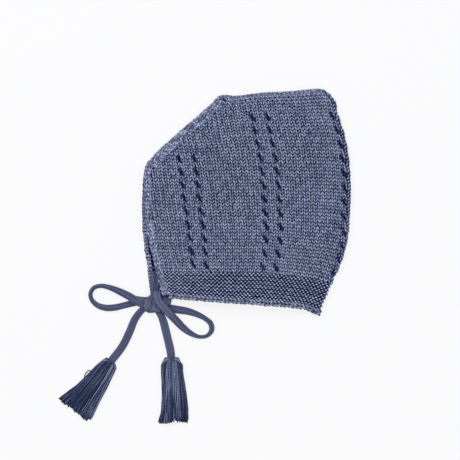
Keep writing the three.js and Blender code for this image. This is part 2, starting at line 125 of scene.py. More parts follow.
def tube(lines, lift, wide, high, sides, painted_light, dye_and_light):
    """Closed tubes along lines, an array of strands by points. lift is the way their height is
    measured, wide and high are half sizes, crest is the painted light, from 0, full painted shade
    in the fabric's middle, to 1 on top, and tone tells one strand's dye from the next and also
    carries painted light and shade."""
    lines = np.asarray(lines, float)
    strands, points = lines.shape[:2]
    tangent = unit(np.gradient(lines, axis=1))
    lift = np.broadcast_to(lift, lines.shape)
    lift = unit(lift - (lift * tangent).sum(-1, keepdims=True) * tangent)
    side = np.cross(tangent, lift)
    turn = 2 * math.pi * np.arange(sides) / sides
    wide = np.broadcast_to(wide, (strands, points, sides))
    high = np.broadcast_to(high, (strands, points, sides))
    out = (wide * np.cos(turn))[..., None] * side[:, :, None]
    out += (high * np.sin(turn))[..., None] * lift[:, :, None]
    rings = lines[:, :, None] + out
    ends = np.stack([lines[:, 0], lines[:, -1]], axis=1)
    corners = np.concatenate([rings.reshape(-1, 3), ends.reshape(-1, 3)])

    ring = np.arange(strands * points * sides).reshape(strands, points, sides)
    around = np.roll(ring, -1, axis=2)
    quads = np.stack([ring[:, :-1], around[:, :-1], around[:, 1:], ring[:, 1:]], axis=-1).reshape(-1, 4)
    pole = strands * points * sides + np.arange(strands * 2).reshape(strands, 2, 1)
    pole = np.broadcast_to(pole, (strands, 2, sides))
    starts = np.stack([around[:, 0], ring[:, 0], pole[:, 0]], axis=-1)
    stops = np.stack([ring[:, -1], around[:, -1], pole[:, 1]], axis=-1)
    caps = np.concatenate([starts.reshape(-1, 3), stops.reshape(-1, 3)])

    along = np.linalg.norm(np.diff(lines, axis=1), axis=2)
    along = np.concatenate([np.zeros((strands, 1)), np.cumsum(along, axis=1)], axis=1)
    u0 = np.broadcast_to(np.arange(sides) / sides, (strands, points - 1, sides))
    u1 = u0 + 1 / sides
    v0 = np.broadcast_to(along[:, :-1, None], u0.shape)
    v1 = np.broadcast_to(along[:, 1:, None], u0.shape)
    wrap = np.stack([u0, v0, u1, v0, u1, v1, u0, v1], axis=-1).reshape(-1, 4, 2)

    painted_light = np.broadcast_to(painted_light, (strands, points, sides))
    painted_light = np.concatenate([painted_light.reshape(-1), painted_light[:, [0, -1]].mean(axis=2).reshape(-1)])
    dye_and_light = np.broadcast_to(dye_and_light, (strands, points))
    dye_and_light = np.concatenate([np.repeat(dye_and_light.reshape(-1), sides), dye_and_light[:, [0, -1]].reshape(-1)])
    return {"corners": corners, "quads": quads, "caps": caps, "wrap": wrap, "painted_light": painted_light, "dye_and_light": dye_and_light}


def lay_yarn(name, strands, material):
    """One piece from many strands, with each strand's wrap as UVs and its crest and tone."""
    offsets = np.cumsum([0] + [len(s["corners"]) for s in strands[:-1]])
    corners = np.concatenate([s["corners"] for s in strands])
    # What lies on the table is pressed flat against it.
    corners[:, 2] = corners[:, 2].clip(table_gap)
    corners = corners * metre
    quads = np.concatenate([s["quads"] + n for s, n in zip(strands, offsets)])
    caps = np.concatenate([s["caps"] + n for s, n in zip(strands, offsets)])
    wrap = np.concatenate([s["wrap"].reshape(-1, 2) for s in strands] + [np.zeros((caps.size, 2))])
    loops = np.concatenate([quads.ravel(), caps.ravel()])
    starts = np.concatenate([np.arange(len(quads)) * 4, quads.size + np.arange(len(caps)) * 3])
    mesh = bpy.data.meshes.new(name)
    mesh.vertices.add(len(corners))
    mesh.vertices.foreach_set("co", corners.astype(np.float32).ravel())
    mesh.loops.add(len(loops))
    mesh.loops.foreach_set("vertex_index", loops.astype(np.int32))
    mesh.polygons.add(len(starts))
    mesh.polygons.foreach_set("loop_start", starts.astype(np.int32))
    mesh.update(calc_edges=True)
    uvs = mesh.uv_layers.new(name="wrap")
    uvs.data.foreach_set("uv", wrap.astype(np.float32).ravel())
    for key in ("painted_light", "dye_and_light"):
        values = np.concatenate([s[key] for s in strands])
        mesh.attributes.new(key, "FLOAT", "POINT").data.foreach_set("value", values.astype(np.float32))
    mesh.shade_smooth()
    mesh.materials.append(material)
    piece = bpy.data.objects.new(name, mesh)
    bpy.context.scene.collection.objects.link(piece)
    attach(piece, "root")
    return piece


def wool_group():
    """Dyed wool with painted shade between the strands, uneven from one to the next, plied and fuzzy."""
    group = bpy.data.node_groups.new("wool", "ShaderNodeTree")
    face = group.interface
    for name, kind, value in [
        ("Painted shade", "NodeSocketColor", (0.01, 0.012, 0.03, 1)),
        ("Crest", "NodeSocketColor", (0.2, 0.22, 0.35, 1)),
        ("Plies", "NodeSocketFloat", 2.0),
        ("Ply turn", "NodeSocketFloat", 0.45),
        ("Ply height", "NodeSocketFloat", 0.5),
    ]:
        face.new_socket(name=name, in_out="INPUT", socket_type=kind).default_value = value
    face.new_socket(name="Colour", in_out="OUTPUT", socket_type="NodeSocketColor")
    face.new_socket(name="Normal", in_out="OUTPUT", socket_type="NodeSocketVector")
    nodes, links = group.nodes, group.links
    given = nodes.new("NodeGroupInput")
    result = nodes.new("NodeGroupOutput")

    def sum_of(kind, first, second, clamp=False):
        node = nodes.new("ShaderNodeMath")
        node.operation = kind
        node.use_clamp = clamp
        for socket, value in zip(node.inputs, (first, second)):
            if isinstance(value, (int, float)):
                socket.default_value = value
            else:
                links.new(value, socket)
        return node.outputs[0]

    painted_light = nodes.new("ShaderNodeAttribute")
    painted_light.attribute_name = "painted_light"
    dye_and_light = nodes.new("ShaderNodeAttribute")
    dye_and_light.attribute_name = "dye_and_light"
    place = nodes.new("ShaderNodeTexCoord")
    wrap = nodes.new("ShaderNodeUVMap")
    wrap.uv_map = "wrap"
    split = nodes.new("ShaderNodeSeparateXYZ")
    links.new(wrap.outputs[0], split.inputs[0])
    fuzz = nodes.new("ShaderNodeTexNoise")
    fuzz.inputs["Scale"].default_value = 2600.0
    fuzz.inputs["Detail"].default_value = 2.0
    links.new(place.outputs["Object"], fuzz.inputs["Vector"])
    cloud = nodes.new("ShaderNodeTexNoise")
    cloud.inputs["Scale"].default_value = 55.0
    cloud.inputs["Detail"].default_value = 3.0
    links.new(place.outputs["Object"], cloud.inputs["Vector"])

    around = sum_of("MULTIPLY", split.outputs["X"], given.outputs["Plies"])
    along = sum_of("MULTIPLY", split.outputs["Y"], given.outputs["Ply turn"])
    angle = sum_of("MULTIPLY", sum_of("ADD", around, along), 2 * math.pi)
    ply = sum_of("MULTIPLY", sum_of("SINE", angle, 0.0), given.outputs["Ply height"])
    height = sum_of("ADD", ply, sum_of("MULTIPLY", fuzz.outputs["Fac"], 1.2))
    bump = nodes.new("ShaderNodeBump")
    bump.inputs["Distance"].default_value = 0.00012
    bump.inputs["Strength"].default_value = 0.8
    links.new(height, bump.inputs["Height"])
    links.new(bump.outputs[0], result.inputs["Normal"])

    # Painted shade: the colour runs from the shade colour in the fabric's middle to the wool's own colour on
    # top.
    level = sum_of("POWER", painted_light.outputs["Fac"], 3.4)
    uneven = sum_of("MULTIPLY", sum_of("SUBTRACT", fuzz.outputs["Fac"], 0.5), 0.5)
    uneven = sum_of("ADD", uneven, sum_of("MULTIPLY", ply, 0.06))
    # Nothing shows on what lies deepest, in the painted shade.
    uneven = sum_of("MULTIPLY", uneven, sum_of("MULTIPLY", painted_light.outputs["Fac"], 3.0, True))
    level = sum_of("ADD", level, uneven, True)
    colour = nodes.new("ShaderNodeMix")
    colour.data_type = "RGBA"
    links.new(level, colour.inputs["Factor"])
    links.new(given.outputs["Painted shade"], colour.inputs[6])
    links.new(given.outputs["Crest"], colour.inputs[7])
    # The tone makes each strand lighter or darker: its dye, and painted light and shade where that is set.
    spread = sum_of("MULTIPLY", sum_of("SUBTRACT", dye_and_light.outputs["Fac"], 0.5), 0.34)
    clouds = sum_of("MULTIPLY", sum_of("SUBTRACT", cloud.outputs["Fac"], 0.5), 0.22)
    bright = sum_of("ADD", sum_of("ADD", spread, clouds), 1.0)
    dyed = nodes.new("ShaderNodeHueSaturation")
    links.new(colour.outputs[2], dyed.inputs["Color"])
    links.new(bright, dyed.inputs["Value"])
    links.new(dyed.outputs[0], result.inputs["Colour"])
    return group


wool = wool_group()


def wool_material(name, painted_shade, painted_light, plies=2.0, ply_turn=0.45, ply_height=0.5):
    """A wool of its own colour, a colour for its painted shade, and plies: matt, with a faint bluish sheen of
    fibres.
    """
    material = bpy.data.materials.new(name)
    material.use_nodes = True
    nodes, links = material.node_tree.nodes, material.node_tree.links
    shader = nodes["Principled BSDF"]
    shader.inputs["Roughness"].default_value = 0.9
    shader.inputs["Specular IOR Level"].default_value = 0.04
    shader.inputs["Sheen Weight"].default_value = 0.03
    shader.inputs["Sheen Roughness"].default_value = 0.45
    shader.inputs["Sheen Tint"].default_value = (0.7, 0.75, 1.0, 1)
    yarn = nodes.new("ShaderNodeGroup")
    yarn.node_tree = wool
    yarn.inputs["Painted shade"].default_value = (*painted_shade, 1)
    yarn.inputs["Crest"].default_value = (*painted_light, 1)
    yarn.inputs["Plies"].default_value = plies
    yarn.inputs["Ply turn"].default_value = ply_turn
    yarn.inputs["Ply height"].default_value = ply_height
    links.new(yarn.outputs["Colour"], shader.inputs["Base Color"])
    links.new(yarn.outputs["Normal"], shader.inputs["Normal"])
    return material


tie_wool = wool_material("braided tie", (0.029, 0.038, 0.079), (0.16, 0.168, 0.215), 6.0, 0.015, 1.3)
upward = np.array([0.0, 0.0, 1.0])


def flat_braid(points, half_height, dye_and_light, painted_edge_shade=False):
    """The flat cord along its points: it thickens where it is narrow, its rolled edges are painted
    paler as a highlight, and its braid stands up in small chevrons. Pulled tight in the knot, it is
    painted darker at its edges and start, as shade where the bands overlap."""
    line = smooth_line(points, tie_step)
    line, half_width = line[:, :3], line[:, 3:]
    turn = 2 * math.pi * np.arange(tie_sides) / tie_sides
    along = lengths_along(line)[:, None]
    chevron = np.cos(2 * math.pi * (along / braid_pitch + 1.6 * np.abs(np.cos(turn))))
    relief = braid_relief * chevron * (0.35 + 0.65 * np.abs(np.sin(turn)))
    high = half_height * (1 + 0.4 * np.clip(1 - half_width / 3, 0, 1)) + relief
    # Painted light: the rolled edges are painted paler as a highlight, and the chevrons' hollows darker as
    # shade.
    rolled_edge_highlight = np.abs(np.cos(turn)) ** 4
    painted_light = 0.52 + 0.3 * rolled_edge_highlight + 0.1 * chevron + 0.06 * np.cos(5 * turn + along / 9)
    # Painted shade in the knot: darker along the edges and at the start, where the bands overlap.
    if painted_edge_shade:
        painted_light = 0.65 + 0.1 * chevron - 0.5 * np.abs(np.cos(turn)) ** 14
        painted_light = painted_light * (1 - 0.8 * np.exp(-((along / 0.9) ** 2)))
    wide = half_width + relief
    return line, tube(line[None], upward, wide[None], high[None], tie_sides, painted_light[None], dye_and_light)


near_line, near_strand = flat_braid(near_tie_points, tie_half_height, 0.55)
near_tie = lay_yarn("near_tie", [near_strand], tie_wool)
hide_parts("near_tie_lead", "right_bow_loop", "right_tie_tail")

far_line, far_strand = flat_braid(far_tie_points, tie_half_height, 0.45)
far_tie = lay_yarn("far_tie", [far_strand], tie_wool)
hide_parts("far_tie_lead", "left_bow_loop", "left_tie_tail")

# The bow knot
# One tie wraps the other in a flat band, and the folded ties swell on both sides of it. It is
# the same cord, pulled tight.

# Each band has its points, half of its height and its tone, which carries painted light and shade.
knot_bands = [
    ([
        (-74.1, -74.6, 2.6, 2.9), (-74.2, -73.4, 6.2, 2.9), (-74.5, -74.4, 8.4, 2.9),
        (-74.9, -77.6, 8.7, 2.9), (-74.8, -79.8, 7.6, 2.9), (-74.7, -80.2, 2.2, 2.9),
    ], 1.1, 0.75),
    ([
        (-87.0, -73.2, 4.4, 3.2), (-82.6, -74.2, 5.0, 3.5), (-78.4, -75.2, 5.2, 4.0),
        (-74.6, -75.8, 5.0, 4.6),
    ], 1.9, 0.4),
    ([
        (-75.8, -76.4, 4.2, 5.4), (-72.0, -77.6, 4.8, 6.0), (-68.2, -79.2, 4.4, 4.6),
        (-65.4, -81.0, 3.4, 2.8),
    ], 2.6, 0.45),
    ([(-75.4, -74.8, 4.4, 2.2), (-72.2, -72.6, 4.8, 2.6), (-69.0, -70.4, 4.8, 2.6)], 1.6, 0.4),
    ([
        (-67.9, -66.2, 6.9, 3.2), (-67.9, -69.6, 7.4, 3.3), (-66.8, -73.6, 8.0, 3.1),
        (-63.6, -77.8, 7.8, 3.1), (-59.6, -82.2, 6.8, 3.1), (-55.0, -87.2, 5.0, 2.9),
        (-50.6, -92.0, 3.0, 2.7),
    ], 1.5, 0.6),
    # Painted shade: the band where the near tie comes out from under the bonnet's near edge is toned darker.
    ([(-60.3, -65.6, 4.2, 4.0), (-60.4, -71.5, 4.0, 4.1), (-61.6, -77.0, 3.8, 4.1)], 1.6, -0.2),
]
knot_strands = [flat_braid(*band, painted_edge_shade=True)[1] for band in knot_bands]
bow_knot = lay_yarn("bow_knot_wraps", knot_strands, tie_wool)
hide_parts("bow_knot")

# The tassels
# Lengths of the bonnet's wool, folded over the end of the tie, bound under the fold inside and
# cut level. They fan out on the table, a little uneven at the hem.
tassel_thickness = 9.0
tassel_locks = 9
lock_strands = 48
tassel_points = 18
strand_radius = 0.4
strand_sides = 6
strand_lift = 0.03
cut_share = 0.985
fold_strands = 8
fold_radius = 0.55
stray_radius = 0.45
tassel_draws = np.random.default_rng(11)

left_tassel_form = {
    "light": 0.86, "shade": 0.2, "top": (-102.4, -119.5), "heading": 233.3, "length": 46.5, "hem": 29.4,
    "along": (0.0, 0.06, 0.2, 0.42, 0.65, 1.0),
    "left": (0.14, 0.18, 0.235, 0.275, 0.33, 0.5),
    "right": (0.14, 0.24, 0.28, 0.345, 0.4, 0.5),
    "thick": (0.66, 0.9, 1.0, 0.96, 0.84, 0.6),
    # Where a strand stands off, down and left of the top, and how far.
    "strays": [((18.6, 7.8), 1.7)],
}
right_tassel_form = {
    "light": 0.98, "shade": 0.0, "top": (-56.8, -117.0), "heading": 271.0, "length": 48.5, "hem": 23.4,
    "along": (0.0, 0.1, 0.28, 0.55, 0.82, 1.0),
    "left": (0.22, 0.34, 0.35, 0.34, 0.36, 0.47),
    "right": (0.22, 0.32, 0.38, 0.45, 0.52, 0.5),
    "thick": (0.66, 0.92, 1.0, 0.94, 0.82, 0.68),
    "strays": [((8.0, -7.2), -1.1)],
}

tassel_wool = wool_material("tassel wool", (0.004, 0.008, 0.032), (0.142, 0.166, 0.262), 2.0, 0.5, 0.6)


def tassel(name, form, draws):
    """Strands in locks that fan out under the fold, lower towards the hem, and cut level."""
    heading = math.radians(form["heading"])
    down = np.array([math.cos(heading), math.sin(heading), 0.0])
    # The left of the photograph as the tassel points down the picture.
    left = np.array([down[1], -down[0], 0.0])
    count = tassel_locks * lock_strands
    share = np.linspace(0.0, 1.0, tassel_points)[None]
    lock = np.repeat(np.arange(tassel_locks), lock_strands)
    lock_middle = (lock + 0.5) / tassel_locks * 2 - 1 + draws.normal(0, 0.03, tassel_locks)[lock]
    lock_cut = draws.normal(0, 0.016, tassel_locks)[lock]
    lock_lift = draws.uniform(0.78, 1.0, tassel_locks)[lock]
    lock_drift = draws.normal(0, 0.05, tassel_locks)[lock]
    lock_light = draws.uniform(0.86, 1.0, tassel_locks)[lock]
    aside = draws.uniform(-1, 1, count)
    level = draws.uniform(0, 1, count) ** 0.7
    cut = cut_share + lock_cut + draws.uniform(-0.04, 0.02, count)
    cut[draws.integers(0, count, 5)] += 0.03
    along = share * cut[:, None]
    spread = 1.55 - 0.35 * along
    side = lock_middle[:, None] + aside[:, None] / tassel_locks * spread
    side += (lock_drift + draws.normal(0, 0.05, count))[:, None] * (along - 0.3)
    side = np.clip(side, -1, 1)
    reach = np.where(
        side > 0,
        np.interp(along, form["along"], form["left"]),
        np.interp(along, form["along"], form["right"]),
    )
    offset = side * (reach * form["hem"] - strand_radius)
    phase = draws.uniform(0, 2 * math.pi, (count, 3))
    offset += 0.4 * np.sin(5 * along + phase[:, :1]) * along
    offset += 0.12 * np.sin(17 * along + phase[:, 1:2])
    thick = np.interp(along, form["along"], form["thick"]) * tassel_thickness
    roof = np.sqrt(np.clip(1 - (0.9 * side) ** 2, 0, 1))
    roof *= 1 - (1 - lock_lift[:, None] * (0.8 + 0.2 * np.sqrt(1 - aside**2))[:, None]) * along
    height = strand_radius + strand_lift + level[:, None] * (thick * roof - 2 * strand_radius - 0.1).clip(0)
    height += 0.14 * (1 + np.sin(13 * along + phase[:, 2:]))
    top = np.array([*form["top"], 0.0])
    lines = top + along[..., None] * form["length"] * down + offset[..., None] * left
    lines[..., 2] += height
    ring = np.sin(2 * math.pi * np.arange(strand_sides) / strand_sides).clip(0)
    # Painted light and shade: lower strands, the sides of each lock and of each strand, and the lower part of
    # the tassel are darker, the side given by its shade is darker, and lightness also differs at random from
    # lock to lock and strand to strand.
    light = form["light"] * lock_light * draws.uniform(0.5, 1.35, count) * (0.6 + 0.4 * level)
    light *= (1 - 0.35 * aside**4) * (1 - form["shade"] * lock_middle)
    painted_light = light[:, None, None] * (0.35 + 0.65 * ring) * (1.14 - 0.26 * share[..., None])
    painted_light += 0.1 * np.sin(9 * along + phase[:, :1])[..., None]
    tones = draws.uniform(-0.2, 1.2, (count, 1))
    strands = [tube(lines, upward, strand_radius, strand_radius, strand_sides, painted_light.clip(0, 1), tones)]
    # The fold over the tie's end: strands laid across the top.
    top_reach = np.interp(0.06, form["along"], form["left"]) * form["hem"]
    turn = np.linspace(-1.3, 1.3, 11)
    for n in range(fold_strands):
        loop = top + down * (0.4 + 0.45 * (n % 3))
        loop = loop + np.outer(np.sin(turn), left) * top_reach * (0.82 + 0.05 * (n % 4))
        loop += np.outer(1 - np.cos(turn), down) * (3.0 + 0.5 * (n % 2))
        loop[:, 2] += 1.0 + n * 0.62
        # The fold's lower strands are painted darker, as shade under the upper ones.
        painted_light, dye_and_light = 0.35 + 0.08 * n, 0.4 + 0.1 * n
        strands.append(tube(loop[None], upward, fold_radius, fold_radius, strand_sides, painted_light, dye_and_light))
    for spot, bulge in form["strays"]:
        turn = np.linspace(0, math.pi, 13)
        loop = top + down * spot[0] + left * spot[1] - np.outer(np.cos(turn), down) * 3.5
        loop += np.outer(np.sin(turn), left) * bulge
        loop[:, 2] += 2.2 + 0.8 * np.sin(turn)
        strands.append(tube(loop[None], upward, stray_radius, stray_radius, strand_sides, 0.75, 0.5))
    piece = lay_yarn(name, strands, tassel_wool)
    return piece


left_tassel = tassel("left_tassel_strands", left_tassel_form, tassel_draws)
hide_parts("left_tassel")
right_tassel = tassel("right_tassel_strands", right_tassel_form, tassel_draws)
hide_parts("right_tassel")

# The crown
# One piece of stockinette in soft wool, folded in half over the top of the head: the upper and
# the lower layer are one fabric round the fold. Its wales run from the face to the back.
lay_width = 157.5
lay_depth = 171.0
fold_thickness = 6.4
seam_thickness = 5.0
full_height = 17.0
edge_lip = 0.8
rim_reach = 5.0
dome_reach = 46.0
mouth_reach = 50.0
mouth_height = 12.5
chin_height = 9.8
band_depth = 23.8
band_bend = 0.576
band_drop = 7.0
binding_width = 5.6
seam_start = 0.66
lay_corner = np.array([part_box("neck_binding")[0].x / metre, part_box("crown")[1].y / metre - lay_depth])

outline_up = (0, 0.08, 0.16, 0.25, 0.35, 0.45, 0.55, 0.62, 0.66, 0.72, 0.8, 0.9, 0.95, 1)
outline_left = (
    0.043, 0.031, 0.024, 0.01, 0.002, 0, 0.003, 0.01, 0.021, 0.069, 0.152, 0.262, 0.317, 0.364,
)
outline_set_back = (0.055, 0.045, 0.034, 0.028, 0.02, 0.012, 0.005, 0, 0, 0, 0, 0, 0, 0)
outline_right = (
    0.843, 0.882, 0.918, 0.959, 0.986, 0.995, 1, 0.998, 0.995, 0.988, 0.971, 0.937, 0.926, 0.881,
)
# How far the wales draw together, over the strap by the fold and from there to the neck.
outline_gather = (
    0.72, 0.74, 0.785, 0.86, 0.907, 0.946, 0.974, 0.987, 0.993, 0.997, 1, 0.955, 0.95, 0.945,
)
outline_neck_gather = (
    0.8, 0.82, 0.86, 0.915, 0.96, 0.985, 1, 1.005, 1.005, 1.005, 1.005, 1, 1, 1,
)
ends_across = (0, 0.06, 0.15, 0.4, 0.7, 0.9, 0.95, 1)
ends_face = (0.088, 0.083, 0.076, 0.061, 0.046, 0.031, 0.018, 0.002)
ends_back = (0.968, 0.973, 0.968, 0.982, 0.99, 1, 0.998, 0.991)


def between(places, values, at):
    """Reads a column of the outline on a smooth curve through its rows."""
    places, values = np.asarray(places, float), np.asarray(values, float)
    i = np.clip(np.searchsorted(places, at, side="right") - 1, 0, len(places) - 2)
    span = places[i + 1] - places[i]
    share = np.clip((at - places[i]) / span, 0, 1)
    before = np.maximum(np.arange(len(places)) - 1, 0)
    after = np.minimum(np.arange(len(places)) + 1, len(places) - 1)
    slopes = (values[after] - values[before]) / (places[after] - places[before])
    square, cube = share**2, share**3
    return (
        (2 * cube - 3 * square + 1) * values[i] + (cube - 2 * square + share) * slopes[i] * span
        + (3 * square - 2 * cube) * values[i + 1] + (cube - square) * slopes[i + 1] * span
    )


def far_edge(up):
    return between(outline_up, outline_left, up) * lay_width


def near_edge(up):
    return far_edge(up) + between(outline_up, outline_set_back, up) * lay_width


def fold_edge(up):
    return between(outline_up, outline_right, up) * lay_width


def lay_y(across, up):
    face = between(ends_across, ends_face, across) * lay_depth
    back = between(ends_across, ends_back, across) * lay_depth
    return face + (back - face) * up


def lay_point(across, up):
    left, right = far_edge(up), fold_edge(up)
    return np.stack([left + (right - left) * across, lay_y(across, up)], axis=-1)


shares = np.linspace(0, 1, 25)
nape_line = lay_point(0 * shares, seam_start + (1 - seam_start) * shares)
back_line = lay_point(shares, 0 * shares + 1)
seam_line = np.concatenate([nape_line, back_line[1:]])
fold_line = lay_point(0 * shares + 1, shares)
fold_line = np.concatenate([[2 * fold_line[0] - fold_line[1]], fold_line])
neck_line = lay_point(0 * shares, shares * seam_start)
face_line = lay_point(shares, 0 * shares)


def distance_to(line, points):
    start, step = line[:-1], np.diff(line, axis=0)
    rel = points[:, None] - start[None]
    along = np.clip((rel * step).sum(-1) / (step**2).sum(-1), 0, 1)
    return np.linalg.norm(rel - along[..., None] * step, axis=-1).min(axis=1)


def smoothstep(value, reach):
    share = np.clip(value / reach, 0, 1)
    return share * share * (3 - 2 * share)


def stand_off(points):
    """How thick the lying layers are at each place, how far the upper one domes up, and how far
    it is from a linked seam."""
    from_seam = distance_to(seam_line, points)
    from_fold = distance_to(fold_line, points)
    towards_seam = (seam_thickness - fold_thickness) * from_fold
    thickness = fold_thickness + towards_seam / (from_fold + from_seam + edge_lip)
    neck_share = smoothstep(distance_to(neck_line, points), mouth_reach)
    face_share = smoothstep(distance_to(face_line, points), mouth_reach)
    free = mouth_height + (full_height - mouth_height) * neck_share
    free = free * (mouth_height / full_height + (1 - mouth_height / full_height) * face_share)
    rise = np.sin(np.clip(from_seam / dome_reach, 0, 1) * math.pi / 2)
    rise = rise * np.sin(np.clip(from_fold / dome_reach, 0, 1) * math.pi / 2)
    return thickness, (np.maximum(free, chin_height) - thickness) * rise, from_seam


# The fabric's middle lies this far inside the outer surface. Round the fold it turns on a
# quarter of an ellipse on each layer.
fabric_inset = 1.4
fold_turn_reach = 3.6
fold_turn = math.pi / 2 * math.hypot(fold_turn_reach, 0.5 * fold_thickness - fabric_inset) / math.sqrt(2)
seam_lip = 0.9
wale_width = 3.75
side_strap_wale = 15


def half_gap(thickness, from_seam):
    """Half of the way between the two layers' middles: it rounds down to a linked seam."""
    rim = np.clip(from_seam / rim_reach, 0, 1)
    rounding = np.sqrt(1 - (1 - rim) ** 2)
    return seam_lip + (thickness / 2 - fabric_inset - seam_lip) * rounding


def from_fold_of(arc):
    """How far in from the fold a place on the fabric lies, and how far it has turned round it."""
    turned = np.clip(arc / fold_turn, -1, 1) * math.pi / 2
    reach = fabric_inset + fold_turn_reach * (1 - np.cos(turned))
    return reach + np.maximum(np.abs(arc) - fold_turn, 0), turned


# The fold does not follow one wale: the middle of the fabric slips past it, on to the upper
# layer at the back and on to the lower one at the face.
slip_up = (0, 0.14, 0.21, 0.28, 0.37, 0.5, 1)
slip_arc = (-2.6, -2.2, -0.7, 0.2, 1.3, 1.9, 2.1)
slip_wales = 6


def crown_arc(wale, up):
    """How far round from the fold a wale of the crown lies."""
    slip = np.interp(up, slip_up, slip_arc) * np.clip(1 - (np.abs(wale) - 1) / slip_wales, 0, 1)
    near = np.clip(wale, -side_strap_wale, side_strap_wale)
    gathered = between(outline_up, outline_gather, up) * near
    return slip + wale_width * (gathered + between(outline_up, outline_neck_gather, up) * (wale - near))


# Eyelets run in lines beside plain straps, from just above the band up to the seams. Each is a
# slit between two wales that lean apart. The lower layer has its own.
eyelet_pitch = 10.2
first_eyelet = 4.5
eyelet_lean = math.radians(28)
strap_wales = (1, 15, 18, 31, 34)
strap_margins = (14.3, 14.3, 14.3, 16.5, 14.3)
lower_slip = 0.45
see_through = (0.26, 0.38)


def eyelets():
    upper, lower, through = [], [], []
    middle = lay_y(0.6, 1.0) - lay_y(0.6, 0.0)
    for wale, margin in zip(strap_wales, strap_margins):
        for up in np.arange((band_depth + first_eyelet) / middle, 1, eyelet_pitch / middle):
            fold, left = fold_edge(up), far_edge(up)
            x = fold - from_fold_of(crown_arc(wale, up))[0]
            y = lay_y(np.clip((x - left) / (fold - left), 0, 1), up)
            if distance_to(seam_line, np.array([[x, y]]))[0] > margin and x > left:
                upper.append((x, y))
                # The two layers' eyelets meet only in the fold's line, near the face.
                meets = wale == 1 and see_through[0] < up < see_through[1]
                lower.append((x, y - (0 if meets else lower_slip) * eyelet_pitch))
                if meets:
                    through.append((x, y))
    return np.array(upper), np.array(lower), np.array(through)


upper_eyelets, lower_eyelets, through_eyelets = eyelets()


def slit_places(points, slits):
    """Each point's place across and along the nearest eyelet slit."""
    rel = points[:, None] - slits[None]
    nearest = np.argmin((rel**2).sum(-1), axis=1)
    rel = rel[np.arange(len(points)), nearest]
    cos, sin = math.cos(eyelet_lean), math.sin(eyelet_lean)
    return rel[:, 0] * cos + rel[:, 1] * sin, -rel[:, 0] * sin + rel[:, 1] * cos


crown_rows = 55
band_ridges = 8
band_wale_width = 3.0
straight_from = 0.13
straight_reach = 90.0

# Stitches are pushed aside round a slit, and the gap in it, pushed back and painted dark as shade, has a
# width and half a length.
slit_push = 0.7
slit_edge = 0.35
push_width = 3.4
push_reach = 3.5
gap_width = 0.5
gap_reach = 3.3
fold_swell = 0.22
fold_swell_width = 4.0
fold_eyelet_y = upper_eyelets[0][1]


def band_up(x):
    """Where the garter band ends, as a share of the way up."""
    level = lay_y(0.5, 0.0) + band_depth
    level = level - band_drop * np.clip((x / lay_width - band_bend) / (1 - band_bend), 0, 1)
    for_face = lay_y(np.clip(x / lay_width, 0, 1), 0.0)
    for_back = lay_y(np.clip(x / lay_width, 0, 1), 1.0)
    return (level - for_face) / (for_back - for_face)


def fabric(wale, row, up_at, arc_of, straight=0.0):
    """Points of the fabric's middle, and how far each lies in an eyelet. wale counts from the
    fold, positive on the upper layer and negative on the lower one."""
    wale, row = np.asarray(wale, float), np.asarray(row, float)
    x = np.full(wale.shape, lay_width * 0.6)
    for _ in range(4):
        up = up_at(x, row)
        held = np.clip(up, 0, 1)
        fold = fold_edge(held)
        from_fold, turned = from_fold_of(arc_of(wale, held))
        # Away from the fold the band's wales stand square to the face.
        square = 1 - np.clip(1 - from_fold / straight_reach, 0, 1) ** 1.5
        slant = (fold_edge(straight_from) - fold) * square * straight
        x = fold - from_fold + slant
    left = far_edge(np.clip(up, 0, 1))
    y = lay_y(np.clip((x - left) / (fold - left), 0, 1), up)
    points = np.stack([x, y], axis=-1)
    gap = np.zeros(len(points))
    for slits, here in ((upper_eyelets, wale > 0), (lower_eyelets, wale <= 0)):
        if here.any():
            across, along = slit_places(points[here], slits)
            push = slit_push * np.tanh(across / slit_edge)
            push *= np.exp(-((across / push_width) ** 2) - (along / push_reach) ** 4)
            points[here, 0] += push * math.cos(eyelet_lean)
            points[here, 1] += push * math.sin(eyelet_lean)
            gap[here] = np.exp(-((across / gap_width) ** 2) - (along / gap_reach) ** 4)
    # The fold swells a little between its eyelets.
    swell = np.exp(-((from_fold - fabric_inset) / fold_swell_width) ** 2) * fold_swell
    points[:, 0] -= swell * np.cos(2 * math.pi * (points[:, 1] - fold_eyelet_y) / eyelet_pitch)
    thickness, dome, from_seam = stand_off(points)
    z = thickness / 2 + half_gap(thickness, from_seam) * np.sin(turned) + dome * (wale > 0)
    return np.concatenate([points + lay_corner, z[:, None]], axis=1), gap


def crown_place(wale, row):
    return fabric(wale, row, lambda x, r: band_up(x) + (1 - band_up(x)) * r / crown_rows, crown_arc)


def band_place(wale, row):
    return fabric(
        wale, row, lambda x, r: band_up(x) * r / band_ridges, lambda w, up: w * band_wale_width, 1.0
    )


def outward(place, wale, row, sign):
    """The way out of the fabric at a wale and row."""
    step = 0.3
    by_wale = place(wale + step, row)[0] - place(wale - step, row)[0]
    by_row = place(wale, row + step)[0] - place(wale, row - step)[0]
    return unit(sign * np.cross(by_wale, by_row))


loop_lean = 0.25
loop_reach = 0.7
loop_depth = 0.7
yarn_radius = 0.72
loop_unevenness = 0.04
# Steps along a loop and sides of its yarn: fewer on the layer that hardly shows.
upper_loop = (12, 6)
lower_loop = (8, 5)
loop_draws = np.random.default_rng(3)


